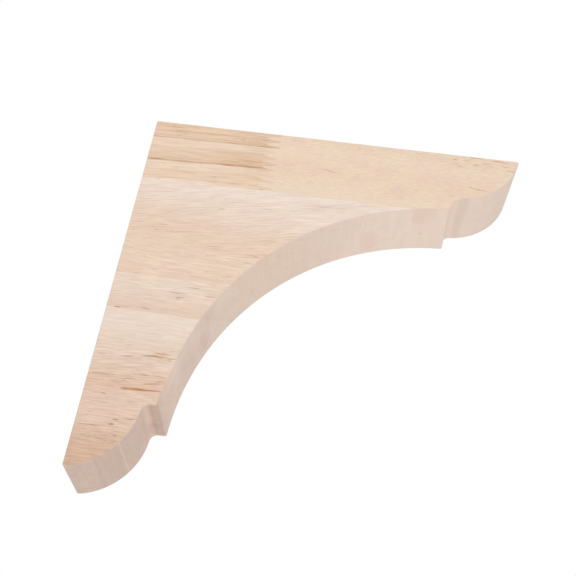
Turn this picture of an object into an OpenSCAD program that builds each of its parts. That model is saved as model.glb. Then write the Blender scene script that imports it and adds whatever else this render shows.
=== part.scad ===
// Wooden corbel bracket, sawn from an edge-glued board.
// The back edge stands against the wall, the top edge carries the shelf.
// The origin is the middle of the wall face: +X leaves the wall, +Z is up.

/* [Legs] */
// Reach of the shelf leg, from the wall face to its tip
shelf_leg = 200; // [150:1:300]
// Drop of the wall leg, from the top face to its tip
wall_leg = 200; // [150:1:300]
// Thickness of the board
thickness = 39; // [18:1:60]
// Depth of a leg just inside its step
leg_depth = 36.5; // [28:0.5:50]

/* [Curve] */
// Radius of the hollow curve between the legs
arc_r = 136; // [100:1:180]

/* [Nose] */
// Length of the rounded nose, from the step to the tip
nose_len = 34; // [24:0.5:45]
// Height of the step between a leg and its nose
step_h = 7.5; // [4:0.5:12]
// Lean of the step out of square, in degrees
step_lean = 2; // [0:1:10]
// Radius of the hollow where the nose meets the step
quirk_r = 4; // [1:0.5:5]

/* [Glued board] */
// Width of the top stave
stave_w = 39.1; // [25:0.1:60]
// Distance of the finger joint from the wall
joint_x = 66.6; // [40:0.1:110]
// Length of the fingers
finger_len = 8; // [5:0.5:15]
// Pitch of the fingers
finger_pitch = 4; // [3:0.5:8]
// Width of a finger's blunt tip
finger_tip = 0.5; // [0.2:0.1:1]
// Depth of the first finger's middle below the top edge
finger_start = 1.4; // [0.5:0.1:2]

/* [Hidden] */
$fn = 240;

nose_depth = leg_depth - step_h;
// the nose is an arc through the tip, level with the leg where it meets the step
nose_r = (nose_len * nose_len + nose_depth * nose_depth) / (2 * nose_depth);
arc_centre = leg_depth + arc_r;
// the hollow at the step keeps clear of the leg's underside
quirk = min(quirk_r, 0.6 * step_h);
// the hollow's circle bites this far into the nose and the step, to cross them cleanly
bite = 0.02;
// room that a cutting shape takes beyond the wood
spare = 50;

// All outlines lie in the plane of the face. The top edge is on y = 0 and
// the wall face on x = 0, so the wood is at x > 0 and y < 0.

// Straight part of a leg, cut off on the leaning line of its step
module leg_shank(reach) {
    step_x = reach - nose_len;
    lean_run = (arc_centre - nose_depth) * tan(step_lean);
    polygon([
        [0, 0],
        [step_x, 0],
        [step_x, -nose_depth],
        [step_x - lean_run, -arc_centre],
        [0, -arc_centre],
    ]);
}

// Rounded nose at the end of a leg, with the hollow that joins it to the step
module leg_nose(reach) {
    nose_centre = [reach - nose_len, nose_depth - nose_r];
    step_top = [reach - nose_len, nose_depth];
    // the hollow's circle lies against the nose's circle and the leaning step
    down = [-sin(step_lean), cos(step_lean)];
    out = [cos(step_lean), sin(step_lean)];
    gap = quirk - bite;
    start = step_top - nose_centre + gap * out;
    half = start * down;
    run = sqrt(half * half - start * start + pow(nose_r + gap, 2)) - half;
    quirk_centre = step_top + gap * out + run * down;
    // corners of the filling, two of them well inside the wood
    touch = nose_centre + (quirk_centre - nose_centre) * nose_r / (nose_r + gap);
    in_nose = step_top - 2 * quirk * down;
    in_leg = quirk_centre - 2 * quirk * out;
    // the nose runs half its length back into the leg, so the two are one piece
    intersection() {
        translate([nose_centre.x, -nose_centre.y]) circle(nose_r);
        translate([nose_centre.x - nose_len / 2, -nose_depth])
            square([spare + nose_len, nose_depth]);
    }
    difference() {
        polygon([for (p = [in_leg, quirk_centre, touch, in_nose]) [p.x, -p.y]]);
        translate([quirk_centre.x, -quirk_centre.y]) circle(quirk);
    }
}

// Square of board behind the hollow curve, and the two legs that run on from it
module web() {
    difference() {
        translate([0, -arc_centre]) square(arc_centre);
        translate([arc_centre, -arc_centre]) circle(arc_r);
    }
    translate([0, -leg_depth]) square([shelf_leg, leg_depth]);
    translate([0, -wall_leg]) square([leg_depth, wall_leg]);
}

// Swaps the two legs
module other_leg() {
    mirror([1, 1, 0]) children();
}

module outline() {
    intersection() {
        web();
        union() {
            leg_shank(shelf_leg);
            translate([0, -wall_leg]) square([leg_depth, wall_leg]);
        }
        union() {
            other_leg() leg_shank(wall_leg);
            translate([0, -leg_depth]) square([shelf_leg, leg_depth]);
        }
    }
    leg_nose(shelf_leg);
    other_leg() leg_nose(wall_leg);
}

// Band of the board that the top stave fills
module top_band() {
    translate([-spare, -stave_w]) square([shelf_leg + 2 * spare, stave_w + spare]);
}

// Everything on the wall's side of the finger joint, fingers included
module wall_side() {
    root_x = joint_x - finger_len / 2;
    tip_x = joint_x + finger_len / 2;
    flat = finger_tip / 2;
    polygon([
        [-spare, spare],
        [tip_x, spare],
        for (depth = [finger_start : finger_pitch : stave_w + finger_pitch])
            each [
                [tip_x, -depth + flat],
                [tip_x, -depth - flat],
                [root_x, -depth - finger_pitch / 2 + flat],
                [root_x, -depth - finger_pitch / 2 - flat],
            ],
        [root_x, -stave_w - spare],
        [-spare, -stave_w - spare],
    ]);
}

// Stands an outline up in the part's frame, at the board's thickness
module board() {
    translate([0, 0, wall_leg / 2])
        rotate([90, 0, 0])
            linear_extrude(height = thickness, center = true)
                children();
}

module top_stave_wall_end() {
    color([0.88, 0.72, 0.56]) board() intersection() {
        outline();
        top_band();
        wall_side();
    }
}

module top_stave_front_end() {
    color([0.93, 0.81, 0.67]) board() difference() {
        intersection() {
            outline();
            top_band();
        }
        wall_side();
    }
}

module lower_board() {
    color([0.91, 0.78, 0.66]) board() difference() {
        outline();
        top_band();
    }
}

top_stave_wall_end();
top_stave_front_end();
lower_board();
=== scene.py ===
import math

import bpy
import numpy as np
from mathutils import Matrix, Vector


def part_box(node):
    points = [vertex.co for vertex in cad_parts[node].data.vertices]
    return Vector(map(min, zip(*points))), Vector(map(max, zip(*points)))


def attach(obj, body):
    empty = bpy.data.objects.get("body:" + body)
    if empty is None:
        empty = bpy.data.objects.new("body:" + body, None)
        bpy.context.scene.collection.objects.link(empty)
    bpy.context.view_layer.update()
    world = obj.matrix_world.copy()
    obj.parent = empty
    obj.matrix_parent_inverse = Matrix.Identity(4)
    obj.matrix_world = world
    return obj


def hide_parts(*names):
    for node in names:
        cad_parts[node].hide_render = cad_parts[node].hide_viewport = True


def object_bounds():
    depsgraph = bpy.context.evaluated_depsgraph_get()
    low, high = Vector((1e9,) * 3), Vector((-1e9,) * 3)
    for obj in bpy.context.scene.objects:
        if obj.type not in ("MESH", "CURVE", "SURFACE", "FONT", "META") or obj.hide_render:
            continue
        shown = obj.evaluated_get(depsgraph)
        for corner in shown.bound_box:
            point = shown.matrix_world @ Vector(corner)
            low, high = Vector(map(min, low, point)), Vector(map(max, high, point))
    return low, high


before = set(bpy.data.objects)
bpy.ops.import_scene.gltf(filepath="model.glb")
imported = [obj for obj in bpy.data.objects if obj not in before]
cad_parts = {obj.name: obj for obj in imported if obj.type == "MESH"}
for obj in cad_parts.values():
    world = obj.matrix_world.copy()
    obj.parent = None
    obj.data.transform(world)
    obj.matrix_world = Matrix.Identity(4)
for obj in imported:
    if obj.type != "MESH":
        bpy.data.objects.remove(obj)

mm = 0.001  # sizes below are in millimetres, Blender works in metres
cadBox = [list(corner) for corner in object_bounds()]
lowCorner, highCorner = np.array(cadBox) / mm
reach = highCorner[0] - lowCorner[0]  # shelf leg, from the wall face to its tip
drop = highCorner[2] - lowCorner[2]  # wall leg, from the shelf face to its tip
thickness = highCorner[1] - lowCorner[1]
shelfFaceZ = highCorner[2]

# the sawn outline, drawn as s across from the wall face and w down from the shelf face
outlineSizes = {
    "legDepth": 36.5,  # depth of a leg just inside its step
    "arcRadius": 136.0,  # hollow curve between the legs
    "noseLength": 34.0,  # from the step to the tip
    "stepHeight": 7.5,
    "stepLean": 2.0,  # degrees out of square
    "quirkRadius": 4.0,  # hollow where the nose meets the step
    "cornerEase": 1.0,  # rounding of the outline's outer corners, wider than the arris
    "easePoints": 6,
    "curveGap": 0.8,  # spacing of the points along a curve
    "straightGap": 2.5,  # and along a straight edge
}


def angleOf(vector):
    return math.atan2(vector[1], vector[0])


def arcPoints(centre, radius, startAngle, turn):
    # points at even angles: centre + radius * (cos, sin)
    count = max(4, int(abs(turn) * radius / outlineSizes["curveGap"]) + 2)
    angle = startAngle + turn * np.linspace(0, 1, count)
    return np.array(centre) + radius * np.stack([np.cos(angle), np.sin(angle)], 1)


def shortTurn(fromAngle, toAngle):
    return (toAngle - fromAngle + math.pi) % (2 * math.pi) - math.pi


def straight(start, end):
    start, end = np.array(start, float), np.array(end, float)
    count = max(2, int(np.linalg.norm(end - start) / outlineSizes["straightGap"]) + 1)
    return start + (end - start) * np.linspace(0, 1, count)[:, None]


def easeBetween(before, after):
    # two runs of points that meet in a corner are joined by a small arc, tangent to both
    corner = after[0]
    radius = outlineSizes["cornerEase"]
    back = before[np.linalg.norm(before - corner, axis=1) > radius][-1] - corner
    ahead = after[np.linalg.norm(after - corner, axis=1) > radius][0] - corner
    back, ahead = back / np.linalg.norm(back), ahead / np.linalg.norm(ahead)
    half = math.acos(back @ ahead) / 2
    trim = radius / math.tan(half)
    middle = (back + ahead) / np.linalg.norm(back + ahead)
    centre = corner + middle * radius / math.sin(half)
    start, end = corner + back * trim - centre, corner + ahead * trim - centre
    share = np.linspace(0, 1, outlineSizes["easePoints"])
    angle = angleOf(start) + shortTurn(angleOf(start), angleOf(end)) * share
    rounding = centre + radius * np.stack([np.cos(angle), np.sin(angle)], 1)
    room = 1.2 * trim  # points nearer to the corner give way to the arc
    keptBefore = before[np.linalg.norm(before - corner, axis=1) > room]
    keptAfter = after[np.linalg.norm(after - corner, axis=1) > room]
    return np.vstack([keptBefore, rounding, keptAfter])


def legEnd(length):
    # the end of one leg, from its tip: arc of the nose, hollow of the quirk, leaning step
    size = outlineSizes
    noseDepth = size["legDepth"] - size["stepHeight"]
    noseRadius = (size["noseLength"] ** 2 + noseDepth ** 2) / (2 * noseDepth)
    noseCentre = np.array([length - size["noseLength"], noseDepth - noseRadius])
    stepTop = np.array([length - size["noseLength"], noseDepth])
    lean = math.radians(size["stepLean"])
    down = np.array([-math.sin(lean), math.cos(lean)])
    out = np.array([math.cos(lean), math.sin(lean)])
    # the quirk's circle lies against the nose's circle and the line of the step
    quirk = size["quirkRadius"]
    offset = stepTop - noseCentre + quirk * out
    half = offset @ down
    run = math.sqrt(half ** 2 - offset @ offset + (noseRadius + quirk) ** 2) - half
    quirkCentre = stepTop + quirk * out + run * down
    touch = noseCentre + (quirkCentre - noseCentre) * noseRadius / (noseRadius + quirk)
    tipAngle = angleOf(np.array([length, 0.0]) - noseCentre)
    nose = arcPoints(noseCentre, noseRadius, tipAngle, shortTurn(tipAngle, angleOf(touch - noseCentre)))
    quirkAngle = angleOf(touch - quirkCentre)
    hollow = arcPoints(quirkCentre, quirk, quirkAngle, shortTurn(quirkAngle, angleOf(-out)))
    # the step ends where its line meets the hollow curve
    offset = stepTop - (size["legDepth"] + size["arcRadius"])
    half = offset @ down
    run = -half - math.sqrt(half ** 2 - offset @ offset + size["arcRadius"] ** 2)
    step = straight(hollow[-1], stepTop + run * down)
    return np.vstack([nose, hollow[1:], step[1:]])


# the three glued pieces: the glue line and the finger joint lie where the frame has them
jointSizes = {
    "fingerPitch": 4.0,
    "fingerTip": 0.5,  # blunt end of a finger
    "firstFinger": 1.4,  # depth of the first finger's middle below the shelf face
}
wallEndBox = np.array(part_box("top_stave_wall_end")) / mm
frontEndBox = np.array(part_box("top_stave_front_end")) / mm
lowerBox = np.array(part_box("lower_board")) / mm
fingerRoot, fingerEnd = frontEndBox[0, 0], wallEndBox[1, 0]
glueDepth = shelfFaceZ - lowerBox[1, 2]
glueAtWall = np.array([0.0, glueDepth])
glueAtCurve = np.array([lowerBox[1, 0], glueDepth])


def fingerLine():
    # zigzag from the shelf face down to the glue line, blunt at every tip and root
    pitch = jointSizes["fingerPitch"]
    middle = np.arange(jointSizes["firstFinger"], glueDepth + pitch, pitch / 2)
    isTip = np.arange(len(middle)) % 2 == 0
    s = np.repeat(np.where(isTip, fingerEnd, fingerRoot), 2)
    blunt = np.tile([-0.5, 0.5], len(middle)) * jointSizes["fingerTip"]
    points = np.stack([s, np.repeat(middle, 2) + blunt], 1)
    points[0, 1] = 0  # the first finger reaches the shelf face at its full length
    height = glueDepth - points[:, 1]
    last = np.flatnonzero(height > 0)[-1]
    share = height[last] / (height[last] - height[last + 1])
    seam = points[last] + (points[last + 1] - points[last]) * share
    return np.vstack([points[:last + 1], seam])


def pieceOutlines():
    # for each piece, its run along the outside of the board and its run along the glue
    shelfEnd = legEnd(reach)
    wallEnd = legEnd(drop)[::-1, ::-1]
    radius = outlineSizes["arcRadius"]
    centre = np.full(2, outlineSizes["legDepth"] + radius)
    angles = [angleOf(point - centre) for point in (shelfEnd[-1], glueAtCurve, wallEnd[0])]
    curveAbove = arcPoints(centre, radius, angles[0], shortTurn(angles[0], angles[1]))
    curveBelow = arcPoints(centre, radius, angles[1], shortTurn(angles[1], angles[2]))
    shelfFaceWall = straight((0, 0), (fingerEnd, 0))
    shelfFaceFront = straight((fingerEnd, 0), (reach, 0))
    fingers = fingerLine()
    return {
        "top_stave_wall_end": (
            easeBetween(straight(glueAtWall, (0, 0)), shelfFaceWall),
            fingers[1:]),
        "top_stave_front_end": (
            easeBetween(easeBetween(shelfFaceFront, shelfEnd), curveAbove),
            fingers[:0:-1]),
        "lower_board": (
            easeBetween(easeBetween(curveBelow, wallEnd), straight((0, drop), glueAtWall)),
            np.zeros((0, 2))),
    }


# a piece is its outline carried through the thickness of the board
boardSizes = {
    "arris": 0.45,  # radius that the long edges are sanded to
    "arrisSteps": 5,
    "ringGap": 2.5,  # spacing of the rings across the thickness
}

# wear at the two steps, strongest at the front face; places along a leg count from its step
wearSizes = {
    "shelfStep": (0.8, -1.9),  # slide of the step's foot and of its corner, outwards along the leg
    "wallStep": (0.0, 0.5),
    "stepStart": -12.0,  # the slide grows from here to the step
    "stepHold": 6.0,  # stays the same up to here
    "stepEnd": 14.0,  # and is gone here
    "rub": 1.2,  # how far the wall leg's edge is rubbed back
    "rubStart": -16.0,
    "rubFull": -4.0,
    "rubHold": 1.0,
    "rubEnd": 3.0,
    "rubBand": (5.0, 1.0),  # it starts this far inside the edge and is full this far inside
    "rubFade": 8,  # power by which it fades towards the back
}


def smoothRise(value):
    # runs from 0 to 1 with level ends
    value = np.clip(value, 0, 1)
    return value * value * (3 - 2 * value)


def wornStep(points, length, share, along, foot, corner):
    # a step that was sanded out of square: its foot and its corner slide along the leg in
    # proportion to the share, and the leg and the nose follow softly
    size, wear = outlineSizes, wearSizes
    place, height = points[..., along] - (length - size["noseLength"]), points[..., 1 - along]
    near = smoothRise(1 - place / wear["stepStart"])
    near *= smoothRise((wear["stepEnd"] - place) / (wear["stepEnd"] - wear["stepHold"]))
    rise = np.clip((height - size["legDepth"] + size["stepHeight"]) / size["stepHeight"], 0, 1)
    worn = points.copy()
    worn[..., along] += share * near * (foot * (1 - rise) + corner * rise)
    return worn


def easedEdge(points, share):
    # the wall leg's edge above its step was rubbed back a little, only close to the front face
    size, wear = outlineSizes, wearSizes
    place = points[..., 1] - (drop - size["noseLength"])
    near = smoothRise((place - wear["rubStart"]) / (wear["rubFull"] - wear["rubStart"]))
    near *= smoothRise((wear["rubEnd"] - place) / (wear["rubEnd"] - wear["rubHold"]))
    inside, full = wear["rubBand"]
    near *= smoothRise((points[..., 0] - size["legDepth"] + inside) / (inside - full))
    rubbed = points.copy()
    rubbed[..., 0] -= wear["rub"] * share ** wear["rubFade"] * near
    return rubbed


def sandedArris(points):
    # the radius wanders a little along the edge, as hand sanding leaves it
    s, w = points[..., 0], points[..., 1]
    wander = 0.18 * np.sin(s / 17 + w / 11) + 0.1 * np.sin(s / 5.3 - w / 7.1 + 1)
    return boardSizes["arris"] * (1 + wander)


def edgeNormals(points):
    along = np.roll(points, -1, axis=-2) - points
    along /= np.linalg.norm(along, axis=-1)[..., None]
    return np.stack([along[..., 1], -along[..., 0]], -1)


def insetPerMillimetre(normal, outside):
    # how a corner moves when its outside edges move inwards by one and its glued edges stay
    before, here = np.roll(normal, 1, axis=-2), normal
    wantBefore, wantHere = -np.roll(outside, 1).astype(float), -outside.astype(float)
    cross = before[..., 0] * here[..., 1] - before[..., 1] * here[..., 0]
    bend = np.abs(cross) > 0.02  # the two edges aren't in line
    cross = np.where(bend, cross, 1)
    x = (wantBefore * here[..., 1] - wantHere * before[..., 1]) / cross
    y = (before[..., 0] * wantHere - here[..., 0] * wantBefore) / cross
    mean = (before + here) / 2 * wantHere[:, None]
    return np.where(bend[..., None], np.stack([x, y], -1), mean)


def cornerNormals(normal, outside):
    # a smooth normal at both ends of each outside edge, a flat one on the glued edges
    before, after = np.roll(normal, 1, axis=-2), np.roll(normal, -1, axis=-2)
    smoothStart = outside & np.roll(outside, 1)
    smoothEnd = outside & np.roll(outside, -1)
    start = normal + np.where(smoothStart[:, None], before, normal)
    end = normal + np.where(smoothEnd[:, None], after, normal)
    return [ends / np.linalg.norm(ends, axis=-1)[..., None] for ends in (start, end)]


def gatheredAtCorner(points, top):
    # where the glue line ends in a thin wedge, the corner slides past a few points of the curve,
    # which would stand above the line: they are spread from the corner to the first one below it
    tiny = 0.001
    above = points[..., 1] < top - tiny
    firstClear = np.argmin(above[:, 1:], axis=1) + 1
    share = np.minimum(np.arange(points.shape[1]) / firstClear[:, None], 1)[..., None]
    corner = points[:, :1]
    clear = points[np.arange(len(points)), firstClear][:, None]
    return np.where(share < 1, corner + (clear - corner) * share, points)


def liftedNormals(flat, across, facing):
    # turns a normal of the outline towards the broad face: across of it, and facing through the board
    return np.concatenate([flat[..., :1] * across, facing, -flat[..., 1:] * across], -1)


def boardPiece(name, outsideRun, gluedRun):
    # a point is the outline moved inwards by r (1 - sin a) at a depth r (1 - cos a) below the
    # face, with a from 0 on the face to 90 degrees on the edge, and the same from the back
    points = np.vstack([outsideRun, gluedRun])
    count = len(points)
    outside = np.arange(count) < len(outsideRun) - 1
    turn = np.linspace(0, math.pi / 2, boardSizes["arrisSteps"] + 1)
    flatRings = np.linspace(-1, 1, int(thickness / boardSizes["ringGap"]))[1:-1]
    angle = np.concatenate([turn, np.full(len(flatRings), math.pi / 2), turn[::-1]])
    side = np.concatenate([-np.ones(len(turn)), flatRings, np.ones(len(turn))])

    # the outline of each ring, which differs from front to back only at the steps
    share = (1 - side[:, None]) / 2
    points = np.repeat(points[None], len(side), axis=0)
    points = wornStep(points, reach, share, 0, *wearSizes["shelfStep"])
    points = wornStep(points, drop, share, 1, *wearSizes["wallStep"])
    points = easedEdge(points, share)
    normal = edgeNormals(points)
    inset = insetPerMillimetre(normal, outside) * sandedArris(points)[..., None]
    start, end = cornerNormals(normal, outside)
    depth = sandedArris(points) * (1 - np.cos(angle))[:, None]
    y = side[:, None] * (thickness / 2 - depth)
    ringPoints = points + inset * (1 - np.sin(angle))[:, None, None]
    ringPoints = gatheredAtCorner(ringPoints, points[..., 1].min())
    x, z = ringPoints[..., 0], shelfFaceZ - ringPoints[..., 1]
    vertices = np.stack([x, y, z], -1).reshape(-1, 3) * mm

    ring, here = np.meshgrid(np.arange(len(angle) - 1), np.arange(count), indexing="ij")
    ahead = (here + 1) % count
    quads = np.stack([ring * count + here, ring * count + ahead,
                      (ring + 1) * count + ahead, (ring + 1) * count + here], -1).reshape(-1, 4)
    back = (len(angle) - 1) * count
    faces = quads.tolist() + [list(range(count))[::-1], list(range(back, back + count))]

    across = np.where(outside[None], np.sin(angle)[:, None], 1.0)[..., None]
    facing = (np.sign(side)[:, None] * np.sqrt(1 - across[..., 0] ** 2))[..., None]
    startNormals, endNormals = [liftedNormals(flat, across, facing) for flat in (start, end)]
    corners = np.stack([startNormals[:-1], endNormals[:-1], endNormals[1:], startNormals[1:]], 2)
    capNormals = np.repeat([[0, -1, 0], [0, 1, 0]], count, axis=0)
    normals = np.vstack([corners.reshape(-1, 3), capNormals])

    mesh = bpy.data.meshes.new(name)
    mesh.from_pydata(vertices.tolist(), [], faces)
    mesh.polygons.foreach_set("use_smooth", np.ones(len(faces), bool))
    mesh.normals_split_custom_set(normals.tolist())
    mesh.update()
    piece = bpy.data.objects.new(name, mesh)
    bpy.context.scene.collection.objects.link(piece)
    print(name, "has", len(faces), "faces")
    return piece


def screenColour(red, green, blue):
    # a colour as it reads on a screen, 0 to 255, turned into the linear values that shaders take
    screen = np.array([red, green, blue]) / 255
    linear = np.where(screen <= 0.04045, screen / 12.92, ((screen + 0.055) / 1.055) ** 2.4)
    return (*linear.tolist(), 1.0)


def fill(tree, socket, value):
    # links the value if it comes from another node, and otherwise writes it on the socket
    if isinstance(value, bpy.types.NodeSocket):
        tree.links.new(value, socket)
    else:
        socket.default_value = value


def addNode(tree, kind, inputs=None, **settings):
    made = tree.nodes.new("ShaderNode" + kind)
    for name, value in settings.items():
        setattr(made, name, value)
    for name, value in (inputs or {}).items():
        fill(tree, made.inputs[name], value)
    return made


def calc(tree, operation, *values):
    made = addNode(tree, "Math", operation=operation)
    for socket, value in zip(made.inputs, values):
        fill(tree, socket, value)
    return made.outputs[0]


def remap(tree, value, fromLow, fromHigh, toLow=0.0, toHigh=1.0, smooth=False):
    made = addNode(tree, "MapRange", {"Value": value, "From Min": fromLow, "From Max": fromHigh,
                                      "To Min": toLow, "To Max": toHigh})
    if smooth:
        made.interpolation_type = "SMOOTHSTEP"
    return made.outputs["Result"]


def mixed(tree, colour, mask, other, blend="MIX"):
    made = addNode(tree, "Mix", data_type="RGBA", blend_type=blend)
    fill(tree, made.inputs["Factor"], mask)
    first, second = [socket for socket in made.inputs if socket.type == "RGBA"]
    fill(tree, first, colour)
    fill(tree, second, other)
    return [socket for socket in made.outputs if socket.type == "RGBA"][0]


def tinted(tree, colour, mask, tint):
    return mixed(tree, colour, mask, (*tint, 1.0), "MULTIPLY")


def varied(tree, colour, share, value, pale, dark):
    # the colour swings from a paler to a darker tint as the value runs from 0 to 1
    tint = mixed(tree, (*pale, 1.0), value, (*dark, 1.0))
    return mixed(tree, colour, share, tint, "MULTIPLY")


def colourOver(tree, value, stops):
    # a run of colours over the value, given as (position, screen colour)
    first, last = stops[0][0], stops[-1][0]
    made = addNode(tree, "ValToRGB", {"Fac": remap(tree, value, first, last)})
    band = made.color_ramp.elements
    while len(band) < len(stops):
        band.new(0.5)
    for element, (position, colour) in zip(band, stops):
        element.position = (position - first) / (last - first)
        element.color = screenColour(*colour)
    return made.outputs["Color"]


def numberOver(tree, value, stops):
    # a number that changes smoothly over the value, given as (position, number)
    first, last = stops[0][0], stops[-1][0]
    numbers = [number for position, number in stops]
    low, high = min(numbers) - 0.01, max(numbers) + 0.01
    made = addNode(tree, "ValToRGB", {"Fac": remap(tree, value, first, last)})
    made.color_ramp.interpolation = "EASE"
    band = made.color_ramp.elements
    while len(band) < len(stops):
        band.new(0.5)
    for element, (position, number) in zip(band, stops):
        element.position = (position - first) / (last - first)
        grey = (number - low) / (high - low)
        element.color = (grey, grey, grey, 1.0)
    return remap(tree, made.outputs["Color"], 0.0, 1.0, low, high)


def startGroup(name, inputs, outputs):
    tree = bpy.data.node_groups.new(name, "ShaderNodeTree")
    for socketName, value in inputs.items():
        kind = "NodeSocketVector" if isinstance(value, tuple) else "NodeSocketFloat"
        socket = tree.interface.new_socket(name=socketName, in_out="INPUT", socket_type=kind)
        socket.default_value = value
    for socketName, kind in outputs.items():
        tree.interface.new_socket(name=socketName, in_out="OUTPUT", socket_type="NodeSocket" + kind)
    return tree, tree.nodes.new("NodeGroupInput").outputs, tree.nodes.new("NodeGroupOutput").inputs


def useGroup(tree, group, **inputs):
    made = tree.nodes.new("ShaderNodeGroup")
    made.node_tree = group
    for name, value in inputs.items():
        fill(tree, made.inputs[name], value)
    return made.outputs


def stretchedNoise(tree, vector, along, through, across, seed, detail, roughness=0.5):
    # noise whose blobs are this long, in mm, along the grain, through the board and across the grain
    split = addNode(tree, "SeparateXYZ", {"Vector": vector}).outputs
    squeezed = addNode(tree, "CombineXYZ", {
        "X": calc(tree, "DIVIDE", split["X"], along),
        "Y": calc(tree, "DIVIDE", split["Y"], through),
        "Z": calc(tree, "DIVIDE", split["Z"], across)}).outputs[0]
    return addNode(tree, "TexNoise", {"Vector": squeezed, "W": seed, "Scale": 1.0, "Detail": detail,
                                      "Roughness": roughness}, noise_dimensions="4D").outputs[0]


def makeBoardPlace():
    # place in the board in mm: s from the wall, depth behind the front face, w below the shelf face;
    # sawn is 1 off the two broad faces, and arris is 1 on the rounded edge between
    tree, entry, result = startGroup("boardPlace", {}, {
        "place": "Vector", "s": "Float", "depth": "Float", "w": "Float", "sawn": "Float",
        "arris": "Float"})
    coordinates = addNode(tree, "TexCoord").outputs
    place = addNode(tree, "Mapping", {
        "Vector": coordinates["Object"],
        "Location": (0, thickness / 2, shelfFaceZ),
        "Scale": (1 / mm, 1 / mm, -1 / mm)}).outputs[0]
    fill(tree, result["place"], place)
    split = addNode(tree, "SeparateXYZ", {"Vector": place}).outputs
    for axis, name in zip("XYZ", ("s", "depth", "w")):
        fill(tree, result[name], split[axis])
    facing = addNode(tree, "SeparateXYZ", {"Vector": coordinates["Normal"]}).outputs["Y"]
    flatness = calc(tree, "ABSOLUTE", facing)
    fill(tree, result["sawn"], remap(tree, flatness, 0.97, 0.6, smooth=True))
    onset = remap(tree, flatness, 0.05, 0.35, smooth=True)
    fall = remap(tree, flatness, 0.99, 0.85, smooth=True)
    fill(tree, result["arris"], calc(tree, "MULTIPLY", onset, fall))
    return tree


def makeGrainFlow():
    # layer is w with the grain's slope along the board, its lean through the board and a slow wander
    # taken out, so that it stays the same along one growth layer
    tree, entry, result = startGroup("grainFlow", {
        "place": (0, 0, 0), "slope": 0.0, "slopeStart": 40.0, "lean": 0.0,
        "wander": 1.0, "wanderLength": 60.0, "seed": 0.0}, {"flow": "Vector", "layer": "Float"})
    split = addNode(tree, "SeparateXYZ", {"Vector": entry["place"]}).outputs
    along = calc(tree, "SUBTRACT", split["X"], entry["slopeStart"])
    rise = calc(tree, "MULTIPLY", entry["slope"], along)
    leaned = calc(tree, "MULTIPLY", entry["lean"], split["Y"])
    noise = stretchedNoise(tree, entry["place"], entry["wanderLength"], 40.0, 18.0, entry["seed"],
                           2.0, 0.45)
    swing = calc(tree, "MULTIPLY", calc(tree, "SUBTRACT", noise, 0.5), entry["wander"])
    straightened = calc(tree, "SUBTRACT", split["Z"], rise)
    layer = calc(tree, "ADD", calc(tree, "ADD", straightened, leaned), swing)
    flow = addNode(tree, "CombineXYZ", {"X": split["X"], "Y": split["Y"], "Z": layer}).outputs[0]
    fill(tree, result["flow"], flow)
    fill(tree, result["layer"], layer)
    return tree


def makeFibreLines():
    # noise drawn out along the grain, spread so that it runs from 0 to 1
    tree, entry, result = startGroup("fibreLines", {
        "flow": (0, 0, 0), "length": 30.0, "through": 3.0, "spacing": 1.0, "seed": 0.0},
        {"lines": "Float"})
    noise = stretchedNoise(tree, entry["flow"], entry["length"], entry["through"], entry["spacing"],
                           entry["seed"], 1.5, 0.6)
    fill(tree, result["lines"], remap(tree, noise, 0.3, 0.7))
    return tree


def makePoreDashes():
    # short dark dashes where the saw has opened a pore: the peaks of a noise drawn out along the grain
    tree, entry, result = startGroup("poreDashes", {
        "flow": (0, 0, 0), "length": 4.0, "width": 0.5, "amount": 0.3, "seed": 0.0}, {"dashes": "Float"})
    noise = stretchedNoise(tree, entry["flow"], entry["length"], entry["width"], entry["width"],
                           entry["seed"], 0.0)
    crowd = stretchedNoise(tree, entry["flow"], 25.0, 12.0, 5.0, entry["seed"], 1.0)
    near = calc(tree, "MULTIPLY", calc(tree, "SUBTRACT", crowd, 0.5), 0.35)
    lift = calc(tree, "MULTIPLY_ADD", entry["amount"], 0.3, near)
    raised = calc(tree, "ADD", noise, lift)
    fill(tree, result["dashes"], remap(tree, raised, 0.80, 0.92, smooth=True))
    return tree


def makeGrainStreak():
    # one long soft spot, strongest at its centre, laid over the mask that comes in
    tree, entry, result = startGroup("grainStreak", {
        "place": (0, 0, 0), "centre": (0, 0, 0), "halfSize": (10, 6, 1), "turn": (0, 0, 0),
        "strength": 1.0, "under": 0.0}, {"mask": "Float"})
    local = addNode(tree, "Mapping", {"Vector": entry["place"], "Location": entry["centre"],
                                      "Rotation": entry["turn"], "Scale": entry["halfSize"]},
                    vector_type="TEXTURE").outputs[0]
    spot = addNode(tree, "TexGradient", {"Vector": local}, gradient_type="SPHERICAL").outputs["Fac"]
    stronger = calc(tree, "MULTIPLY", spot, entry["strength"])
    fill(tree, result["mask"], calc(tree, "MAXIMUM", stronger, entry["under"]))
    return tree


boardPlace = makeBoardPlace()
grainFlow = makeGrainFlow()
fibreLines = makeFibreLines()
poreDashes = makePoreDashes()
grainStreak = makeGrainStreak()
print("wood node groups ready")


def streakMask(tree, place, marks, depth=0.0, through=7.0):
    # a mark is (s, w, half length, half width, rise, strength); w grows by rise from end to end
    mask = 0.0
    for s, w, halfLength, halfWidth, rise, strength in marks:
        turn = math.atan2(rise, 2 * halfLength)
        mask = useGroup(tree, grainStreak, place=place, centre=(s, depth, w),
                        halfSize=(halfLength, through, halfWidth), turn=(0, -turn, 0),
                        strength=strength, under=mask)["mask"]
    return remap(tree, mask, 0.1, 0.9, smooth=True)


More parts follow.
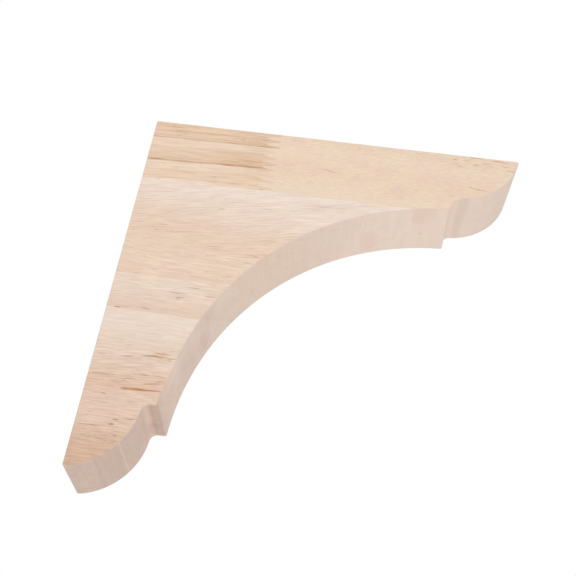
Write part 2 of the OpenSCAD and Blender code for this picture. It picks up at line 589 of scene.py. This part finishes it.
def grownWood(tree, look):
    # the colour and the height of one piece of wood, from its own dictionary
    where = useGroup(tree, boardPlace)
    place, w = where["place"], where["w"]
    lean = numberOver(tree, w, look["lean"])
    zone = useGroup(tree, grainFlow, place=place, slope=numberOver(tree, w, look["layerSlope"]),
                    lean=lean, wander=look["wander"], seed=look["seed"])
    grain = useGroup(tree, grainFlow, place=place, slope=numberOver(tree, w, look["lineSlope"]),
                     lean=lean, wander=look["wander"], wanderLength=35.0, seed=look["seed"] + 1)
    flow = grain["flow"]
    colour = colourOver(tree, zone["layer"], look["layers"])
    rough = calc(tree, "SUBTRACT", 1.0, calc(tree, "MULTIPLY", where["sawn"], look["sawnCalm"]))
    rough = calc(tree, "MULTIPLY", rough, numberOver(tree, zone["layer"], look["lineStrength"]))
    for length, through, spacing, pale, dark in look["lines"]:
        lines = useGroup(tree, fibreLines, flow=flow, length=length, through=through, spacing=spacing,
                         seed=look["seed"] + spacing)["lines"]
        colour = varied(tree, colour, rough, lines, pale, dark)
    blotch = stretchedNoise(tree, flow, look["blotchLength"], 20.0, look["blotchWidth"],
                            look["seed"] + 4, 1.0)
    colour = varied(tree, colour, 1.0, remap(tree, blotch, 0.35, 0.65), *look["blotchTints"])
    dashes = useGroup(tree, poreDashes, flow=flow, length=look["poreLength"], width=look["poreWidth"],
                      amount=look["poreAmount"], seed=look["seed"] + 7)["dashes"]
    dashes = calc(tree, "MULTIPLY", dashes, rough)
    colour = tinted(tree, colour, dashes, look["poreTint"])
    for marks, tint in look["streaks"]:
        mask = streakMask(tree, flowNear(tree, place), marks)
        mask = calc(tree, "MULTIPLY", mask, remap(tree, lines, 0.0, 0.7, 0.55, 1.0))
        colour = tinted(tree, colour, mask, tint)
    colour = mixed(tree, colour, where["sawn"], sawnTone(tree, colour, place, look))
    # painted shade: the rounded edges are tinted greyer and darker, standing in for how the light falls
    # on them
    colour = tinted(tree, colour, where["arris"], look["arrisShadeTint"])
    height = calc(tree, "SUBTRACT", calc(tree, "MULTIPLY", lines, -0.4), dashes)
    return colour, height


def sawnTone(tree, colour, place, look):
    # a sawn and sanded edge: its own even colour over w, which wanders through the board, a little
    # of the grown colour, soft clouds, faint marks of the cutter from front to back, and its spots
    seed = look["seed"]
    drift = stretchedNoise(tree, place, 30.0, 16.0, 14.0, seed + 9, 1.0)
    drift = calc(tree, "MULTIPLY", calc(tree, "SUBTRACT", drift, 0.5), 14.0)
    w = addNode(tree, "SeparateXYZ", {"Vector": place}).outputs["Z"]
    even = colourOver(tree, calc(tree, "ADD", w, drift), look["sawnLayers"])
    tone = mixed(tree, even, look["sawnGrain"], colour)
    cloud = stretchedNoise(tree, place, 7.0, 9.0, 7.0, seed + 11, 2.0)
    tone = varied(tree, tone, 1.0, remap(tree, cloud, 0.3, 0.7), (1.005, 1.02, 1.015),
                  (0.995, 0.975, 0.985))
    cutter = stretchedNoise(tree, place, 2.2, 60.0, 2.2, seed + 13, 2.0)
    tone = varied(tree, tone, look["cutterMarks"], remap(tree, cutter, 0.35, 0.65),
                  (1.012, 1.012, 1.012), (0.975, 0.975, 0.975))
    # the spot in the hollow at each step is painted shade, darkening the recess where the light is
    # shaded
    for marks, depth, through, tint in look["sawnSpots"]:
        tone = tinted(tree, tone, streakMask(tree, place, marks, depth, through), tint)
    return tone


def flowNear(tree, place):
    # the place with a small slow wave across the grain, for marks that aren't quite straight
    wave = stretchedNoise(tree, place, 9.0, 20.0, 6.0, 2.0, 1.0)
    wave = calc(tree, "MULTIPLY", calc(tree, "SUBTRACT", wave, 0.5), 2.2)
    across = addNode(tree, "CombineXYZ", {"Z": wave}).outputs[0]
    made = addNode(tree, "VectorMath", operation="ADD")
    fill(tree, made.inputs[0], place)
    fill(tree, made.inputs[1], across)
    return made.outputs[0]


def woodMaterial(name, look):
    material = bpy.data.materials.new(name)
    material.use_nodes = True
    tree = material.node_tree
    colour, height = grownWood(tree, look)
    bump = addNode(tree, "Bump", {"Height": height, "Strength": 0.35, "Distance": 0.1 * mm}).outputs[0]
    rough = remap(tree, height, -1.2, 0.0, 0.75, 0.58)
    shader = tree.nodes["Principled BSDF"]
    shader.inputs["Specular IOR Level"].default_value = 0.1
    fill(tree, shader.inputs["Base Color"], colour)
    fill(tree, shader.inputs["Roughness"], rough)
    fill(tree, shader.inputs["Normal"], bump)
    print(name, "made")
    return material


# In each look a layer is (place across the grain, colour) and the slopes, leans and strengths run
# over w. Lines are (length, reach through the board, spacing, paler tint, darker tint), a streak is a
# list of marks and their tint, and a mark is (s, w, half length, half width, rise, strength). A spot
# on the sawn edge is a list of marks, the depth of their centre, their reach and their tint.

# top stave, wall end: tan wood with long dark growth lines
tanLook = {
    "seed": 3.0,
    "layers": [(0, (231, 205, 182)), (2, (228, 200, 175)), (4.5, (231, 204, 181)), (5, (226, 195, 169)),
               (6.5, (231, 204, 180)), (9, (229, 200, 175)), (9.5, (226, 197, 172)),
               (10, (206, 172, 142)), (10.5, (237, 213, 192)), (15, (237, 213, 191)),
               (16, (230, 203, 178)), (17.5, (233, 207, 183)), (22.5, (228, 200, 176)),
               (24.5, (225, 196, 170)), (25, (202, 166, 134)), (26, (236, 213, 191)),
               (30, (238, 215, 193)), (32.5, (233, 207, 183)), (36, (236, 212, 190)),
               (37, (231, 205, 182)), (38, (236, 212, 190)), (40, (235, 211, 189))],
    "layerSlope": [(0, -0.02), (14, -0.026), (26, -0.038), (40, 0.0)],
    "lineSlope": [(0, -0.02), (20, -0.02), (26, -0.03), (40, -0.05)],
    "lean": [(0, -0.1), (40, -0.2)],
    "wander": 1.6,
    "lineStrength": [(0, 1.1), (9, 1.0), (12, 0.55), (22, 0.8), (40, 0.75)],
    "lines": [(60.0, 30.0, 1.9, (1.02, 1.03, 1.04), (0.97, 0.95, 0.93)),
              (14.0, 4.0, 0.44, (1.14, 1.17, 1.19), (0.87, 0.82, 0.77))],
    "blotchLength": 25.0, "blotchWidth": 6.0, "blotchTints": ((1.0, 0.99, 0.97), (1.0, 1.01, 1.02)),
    "poreLength": 4.0, "poreWidth": 0.4, "poreAmount": 0.3, "poreTint": (0.80, 0.70, 0.60),
    "streaks": [
        ([(12, 3, 9, 0.45, 0.3, 1.1), (16, 5, 9, 0.45, 0.2, 1.1), (45, 9.5, 9, 0.5, 0, 1.0),
          (62, 10, 6, 0.6, -0.3, 1.3), (6, 26.5, 7, 0.65, -0.7, 1.3), (20, 25.5, 6, 0.5, -0.3, 0.8),
          (44, 25, 6, 0.65, 0, 1.6), (56, 24.5, 9, 0.6, -0.5, 1.0), (57, 20.5, 7, 0.3, -0.8, 1.0),
          (58, 22, 6, 0.3, -0.4, 1.0), (50, 37, 6, 0.35, -0.9, 1.4), (60, 36.5, 4, 0.35, 0.3, 1.1),
          (38, 37.5, 5, 0.3, 0, 1.1), (39, 34, 4, 0.3, -0.4, 1.0), (65, 38.5, 2, 0.35, 0.3, 1.3)],
         (0.76, 0.65, 0.56)),
        ([(50, 20, 26, 6, 0.0, 0.7), (25, 33, 7, 2.5, 0.0, 0.8), (17, 31, 5, 2, 0.0, 0.7)],
         (0.95, 0.91, 0.86)),
        ([(64, 20, 45, 40, 0.0, 0.9)], (0.95, 0.92, 0.88)),
        ([(60, 26.5, 14, 5, 0.0, 1.3), (60, 13, 12, 4, 0.0, 0.8)], (0.985, 0.96, 0.955)),
    ],
    "sawnCalm": 0.4, "sawnGrain": 0.3, "cutterMarks": 1.0,
    "sawnLayers": [(0, (233, 211, 194)), (40, (234, 212, 196))],
    "sawnSpots": [],
    "arrisShadeTint": (0.93, 0.92, 0.92),
}

# top stave, front end: even yellow cream
yellowCreamLook = {
    "seed": 11.0,
    "layers": [(0, (236, 212, 191)), (8, (238, 215, 194)), (20, (236, 211, 189)), (32, (238, 215, 194)),
               (41, (237, 214, 193))],
    "layerSlope": [(0, 0.02), (41, 0.03)],
    "lineSlope": [(0, 0.03), (41, 0.05)],
    "lean": [(0, -0.2), (41, -0.25)],
    "wander": 6.0,
    "lineStrength": [(0, 1.0), (12, 0.7), (41, 0.7)],
    "lines": [(25.0, 25.0, 3.5, (1.015, 1.015, 1.015), (0.985, 0.98, 0.975)),
              (4.0, 3.0, 1.0, (1.065, 1.075, 1.075), (0.935, 0.925, 0.91))],
    "blotchLength": 12.0, "blotchWidth": 8.0, "blotchTints": ((1.01, 1.02, 0.98), (0.99, 0.97, 0.985)),
    "poreLength": 2.5, "poreWidth": 0.4, "poreAmount": 0.25, "poreTint": (0.85, 0.76, 0.68),
    "streaks": [
        ([(100, 21, 7, 0.6, 4.0, 1.0), (178, 21.5, 7, 0.5, 2.0, 1.9), (196, 7, 4, 0.45, 0.6, 2.1),
          (168, 7.5, 3, 0.45, 0.8, 1.4), (177, 5.5, 2, 0.5, 0.3, 1.9), (166, 3.5, 2, 0.45, 0.2, 1.6),
          (146, 27, 2, 0.35, 0, 1.4), (114, 21, 3, 0.35, 0.5, 1.0), (165, 28, 3, 0.45, 0, 1.3),
          (177, 1, 5, 0.5, 0, 1.9), (190, 1.5, 6, 0.5, 0.3, 1.9), (183, 4, 4, 0.35, 0.4, 1.3),
          (193, 4.5, 4, 0.35, 0.8, 1.4), (186, 6, 3, 0.35, 0.5, 1.3), (172, 3.5, 3, 0.35, 0.3, 1.3)],
         (0.73, 0.65, 0.57)),
        ([(78, 22, 9, 16, 0, 0.7), (122, 8, 22, 5, 0, 0.6), (155, 30, 14, 6, 0, 0.5)],
         (0.98, 0.94, 0.945)),
        ([(168, 14, 45, 22, 0.0, 1.3)], (0.99, 0.985, 0.998)),
        ([(165, 34, 18, 6, 0.0, 1.3)], (0.98, 0.96, 0.975)),
        ([(136, 32, 22, 8, 0.0, 1.2)], (0.98, 0.965, 0.975)),
    ],
    "sawnCalm": 0.4, "sawnGrain": 0.2, "cutterMarks": 0.5,
    "sawnLayers": [(0, (233, 212, 197)), (21, (234, 214, 200)), (28, (236, 217, 204)),
                   (32, (240, 220, 206)), (41, (239, 219, 203))],
    "sawnSpots": [
        ([(172, 30, 4.5, 6, 0, 1.6)], 8.0, 52.0, (0.915, 0.915, 0.91)),  # painted shade in the hollow at the step
        ([(165.5, 33.5, 2.6, 5, 0, 1.6)], 5.0, 40.0, (1.02, 1.02, 1.025)),  # worn step beside it
        ([(151, 37, 9, 8, 0, 3.0)], 5.0, 12.0, (0.97, 0.93, 0.925)),  # pink patch
        ([(152, 37.5, 1.2, 3, 0, 1.3)], 24.0, 1.6, (0.90, 0.84, 0.78)),  # small knot
    ],
    "arrisShadeTint": (0.93, 0.92, 0.92),
}

# lower board: pink cream above, tan towards the wall tip
pinkCreamLook = {
    "seed": 23.0,
    "layers": [
        (36, (237, 221, 208)), (45, (237, 219, 204)), (55, (234, 214, 198)), (65, (232, 208, 189)),
        (75, (231, 206, 185)), (91, (233, 210, 190)), (98, (230, 204, 183)), (99.5, (233, 214, 197)),
        (105, (232, 213, 196)), (109, (231, 209, 192)), (119, (226, 200, 182)), (120, (233, 215, 200)),
        (127, (232, 214, 199)), (132, (231, 211, 195)), (139, (227, 205, 188)), (147, (226, 203, 186)),
        (153, (222, 195, 174)), (159, (221, 192, 171)), (164, (224, 199, 180)), (173, (223, 196, 178)),
        (181, (217, 189, 169)), (188, (211, 180, 157)), (200, (210, 178, 155))],
    "layerSlope": [(36, 0.12), (62, 0.12), (90, 0.0), (200, 0.0)],
    "lineSlope": [(36, -0.15), (62, -0.15), (76, -0.1), (85, 0.0), (93, 0.04), (100, 0.0),
                  (132, 0.0), (142, -0.07), (158, -0.07), (168, 0.0), (200, 0.0)],
    "lean": [(36, -0.25), (60, 0.3), (110, 0.55), (150, 0.3), (186, 0.0), (200, 0.0)],
    "wander": 3.5,
    "lineStrength": [(36, 0.75), (62, 0.8), (96, 0.75), (106, 0.8), (119, 0.5), (134, 0.55), (140, 1.0),
                     (180, 1.15), (200, 1.4)],
    "lines": [(60.0, 35.0, 2.6, (1.015, 1.02, 1.03), (0.985, 0.97, 0.96)),
              (8.5, 3.0, 0.42, (1.14, 1.16, 1.18), (0.87, 0.84, 0.81))],
    "blotchLength": 22.0, "blotchWidth": 7.0, "blotchTints": ((1.0, 1.005, 0.985), (1.0, 0.985, 1.0)),
    "poreLength": 3.5, "poreWidth": 0.35, "poreAmount": 0.3, "poreTint": (0.80, 0.68, 0.58),
    "streaks": [
        # the strongest streak, and the orange ones near the curve
        ([(25.5, 159.5, 10, 0.75, -1.4, 4.0), (30, 159, 9, 0.3, -0.8, 2.0)], (0.66, 0.46, 0.30)),
        ([(30, 142, 9, 0.4, -0.7, 2.6), (33, 140.5, 6, 0.35, -0.7, 2.2), (38, 142, 3, 0.3, 0, 1.8),
          (26.5, 152, 3, 0.4, 0.3, 2.2), (34, 152, 6, 0.3, -0.2, 1.4), (31, 156, 5, 0.4, -1.4, 2.0),
          (34.5, 154.5, 3, 0.3, -1.0, 1.4)],
         (0.76, 0.57, 0.40)),
        ([(17, 143.5, 4, 0.35, -0.3, 1.6), (4, 144, 4, 0.3, 0, 1.0), (6, 154.5, 7, 0.35, 0.4, 1.5),
          (18, 155, 7, 0.3, -0.4, 1.3), (13, 156.5, 5, 0.3, 0.8, 1.4), (25, 174, 3, 0.3, 0, 1.8),
          (24, 166, 3, 0.3, 0, 1.2), (6, 179.5, 8, 0.3, -0.3, 1.3), (20, 181, 3, 0.3, 0, 1.4),
          (14, 185.5, 4, 0.3, 0.3, 1.4), (20, 185.5, 3, 0.3, 0, 1.2), (33, 106.5, 8, 0.35, -0.6, 1.4),
          (50, 106.5, 5, 0.3, 0, 1.4), (41, 103, 5, 0.3, -0.5, 1.1), (19.5, 117.5, 3.5, 0.3, 0.6, 1.6),
          (8, 118, 6, 0.3, -0.4, 1.0)],
         (0.72, 0.58, 0.48)),
        # short dark dashes, where a pore lies open
        ([(35, 109, 2.5, 0.3, 0.2, 3.5), (5.5, 118.5, 2, 0.3, 0, 2.6), (18.5, 175.5, 2, 0.35, 0, 3.0),
          (17, 178, 1.5, 0.5, 0, 4.5), (17.5, 156, 1.5, 0.3, 0, 2.4), (10, 163.5, 1.5, 0.3, 0, 1.8),
          (34, 110, 1.5, 0.25, 0.2, 1.6), (20, 183, 1.5, 0.25, 0, 1.6)],
         (0.52, 0.42, 0.37)),
        ([(4, 68, 6, 0.35, -1.0, 1.3), (18, 68, 5, 0.35, -1.2, 1.1), (15, 71.5, 3, 0.3, -0.5, 1.0),
          (4, 72.5, 6, 0.35, -0.5, 1.0), (31, 70.5, 7, 0.35, -1.5, 1.0), (48, 77.5, 12, 0.35, -0.7, 1.0),
          (67, 80, 7, 0.35, 1.5, 1.1), (64.5, 84.5, 4, 0.35, 0, 1.1), (4, 84, 6, 0.35, 1.0, 0.8),
          (8.5, 86.5, 5, 0.35, 1.5, 0.8), (4.5, 91.5, 6, 0.35, 1.5, 0.8), (45, 92.5, 3, 0.35, 1.0, 1.1),
          (57, 94, 3, 0.35, 0, 1.1), (99, 45, 8, 0.35, -2.5, 1.1), (70, 51, 5, 0.35, -1.0, 1.3),
          (46, 54, 3, 0.45, 0, 1.6), (66, 56.5, 8, 0.35, -2.0, 1.0)],
         (0.80, 0.69, 0.59)),
        ([(48, 102.5, 20, 6, 0.0, 1.4), (112, 46, 40, 5, -2.0, 1.2), (75, 71, 10, 4, 0.0, 1.0),
          (5, 162, 13, 11, 0.0, 1.4), (4, 195, 12, 14, 0.0, 0.6)], (0.985, 0.965, 0.955)),
        ([(39, 148.5, 10, 5, 0.0, 2.2)], (1.02, 1.04, 1.06)),
    ],
    "sawnCalm": 0.2, "sawnGrain": 0.3, "cutterMarks": 1.0,
    "sawnLayers": [(36, (240, 220, 204)), (45, (239, 216, 199)), (53, (233, 211, 196)),
                   (65, (231, 209, 193)), (93, (231, 208, 190)), (100, (232, 213, 198)),
                   (107, (230, 211, 195)), (115, (228, 205, 189)), (125, (231, 209, 195)),
                   (136, (231, 211, 195)), (144, (233, 215, 201)), (152, (230, 209, 193)),
                   (160, (229, 206, 191)), (172, (224, 201, 187)), (178, (216, 193, 180)),
                   (186, (210, 189, 176)), (200, (211, 192, 181))],
    "sawnSpots": [
        ([(34.2, 168.5, 4.6, 4.8, 0, 2.4)], 20.0, 120.0, (0.80, 0.785, 0.765)),  # painted shade in the hollow at the step
        ([(22.6, 186, 0.9, 0.9, 0, 1.8)], 20.0, 200.0, (1.10, 1.10, 1.10)),  # lines left by the cutter
        ([(13.5, 194.8, 1.6, 1.6, 0, 1.3), (29.3, 174.5, 1.2, 1.6, 0, 1.2)], 26.0, 60.0,
         (0.95, 0.94, 0.93)),
        ([(43, 134, 16, 13, 0, 1.5)], 27.0, 24.0, (0.97, 0.945, 0.945)),  # pink patches
        ([(46.5, 119, 6, 7, 0, 1.4)], 24.0, 15.0, (0.97, 0.91, 0.91)),
        ([(59, 97, 5, 6, 0, 1.3)], 19.0, 9.0, (0.98, 0.955, 0.945)),
        ([(125, 44, 8, 8, 0, 1.5)], 26.0, 13.0, (0.985, 0.955, 0.955)),
        ([(31, 166.5, 3.5, 3.5, 0, 1.5)], 28.0, 13.0, (0.94, 0.88, 0.89)),
        ([(51, 115, 6, 4, 0, 1.2)], 9.0, 8.0, (0.955, 0.96, 0.95)),  # grey spot
        ([(38.5, 151, 6, 15, 0, 1.5)], 3.0, 14.0, (1.06, 1.06, 1.065)),  # paler edge above the step
    ],
    "arrisShadeTint": (0.93, 0.92, 0.92),
}

finishes = {
    "top_stave_wall_end": ("tan_wood", woodMaterial("tanWood", tanLook)),
    "top_stave_front_end": ("yellow_cream_wood", woodMaterial("yellowCreamWood", yellowCreamLook)),
    "lower_board": ("pink_cream_wood", woodMaterial("pinkCreamWood", pinkCreamLook)),
}

for node, (outsideRun, gluedRun) in pieceOutlines().items():
    piece = boardPiece(node + "_wood", outsideRun, gluedRun)
    slot, material = finishes[node]
    piece.data.materials.append(material)
    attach(piece, "root")
    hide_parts(node)


viewSizes = {
    "place": (111.0, -429.8, -228.4),
    "turn": (124.63, -8.76, 0.48),  # degrees about x, y and z
    "lens": 59.3,
    "shift": (0.0525, -0.1455),
}


def makeCamera():
    data = bpy.data.cameras.new("camera")
    data.lens = viewSizes["lens"]
    data.sensor_width = 36
    data.shift_x, data.shift_y = viewSizes["shift"]
    data.clip_start, data.clip_end = 0.01, 20
    camera = bpy.data.objects.new("camera", data)
    camera.location = [side * mm for side in viewSizes["place"]]
    camera.rotation_euler = [math.radians(angle) for angle in viewSizes["turn"]]
    bpy.context.scene.collection.objects.link(camera)
    bpy.context.scene.camera = camera


makeCamera()
print("camera ready")

lightSizes = {
    "sky": 0.82,  # strength of the even light from all round
    "lampFrom": (0.13, -1.0, -0.8),  # metres from the bracket
    "lampWidth": 0.7,
    "lampWatts": 5.0,
    "floorZ": -1.2,
    "floorWidth": 8.0,
}


def makeSky():
    # plain white to the eye and in reflections, a little dimmer as a light
    world = bpy.data.worlds.new("studio")
    bpy.context.scene.world = world
    world.use_nodes = True
    tree = world.node_tree
    rays = addNode(tree, "LightPath").outputs
    seen = calc(tree, "MAXIMUM", rays["Is Camera Ray"], rays["Is Glossy Ray"])
    seen = calc(tree, "MAXIMUM", seen, rays["Is Transmission Ray"])
    background = tree.nodes["Background"]
    fill(tree, background.inputs["Color"], (1, 1, 1, 1))
    fill(tree, background.inputs["Strength"], remap(tree, seen, 0, 1, lightSizes["sky"], 1.0))


def makeLamp():
    lamp = bpy.data.lights.new("softbox", "AREA")
    lamp.shape = "DISK"
    lamp.size = lightSizes["lampWidth"]
    lamp.energy = lightSizes["lampWatts"]
    softbox = bpy.data.objects.new("softbox", lamp)
    softbox.location = lightSizes["lampFrom"]
    softbox.rotation_euler = (-softbox.location).to_track_quat("-Z", "Y").to_euler()
    softbox.visible_camera = False
    bpy.context.scene.collection.objects.link(softbox)


def makeFloor():
    # pale floor well below the bracket; the eye sees it almost white, with the bracket's soft shadow
    half = lightSizes["floorWidth"] / 2
    level = lightSizes["floorZ"]
    mesh = bpy.data.meshes.new("floor")
    corners = [(-half, -half, level), (half, -half, level), (half, half, level), (-half, half, level)]
    mesh.from_pydata(corners, [], [(0, 1, 2, 3)])
    floor = bpy.data.objects.new("floor", mesh)
    bpy.context.scene.collection.objects.link(floor)
    material = bpy.data.materials.new("paleFloor")
    material.use_nodes = True
    tree = material.node_tree
    shader = tree.nodes["Principled BSDF"]
    fill(tree, shader.inputs["Base Color"], (0.85, 0.85, 0.85, 1))
    fill(tree, shader.inputs["Roughness"], 0.9)
    glow = addNode(tree, "Emission").outputs[0]
    mixer = addNode(tree, "MixShader")
    share = calc(tree, "MULTIPLY", addNode(tree, "LightPath").outputs["Is Camera Ray"], 0.8)
    for socket, value in zip(mixer.inputs, (share, shader.outputs[0], glow)):
        fill(tree, socket, value)
    fill(tree, tree.nodes["Material Output"].inputs["Surface"], mixer.outputs[0])
    mesh.materials.append(material)


makeSky()
makeLamp()
makeFloor()
bpy.context.scene.view_settings.view_transform = "Standard"
print("light and floor ready")
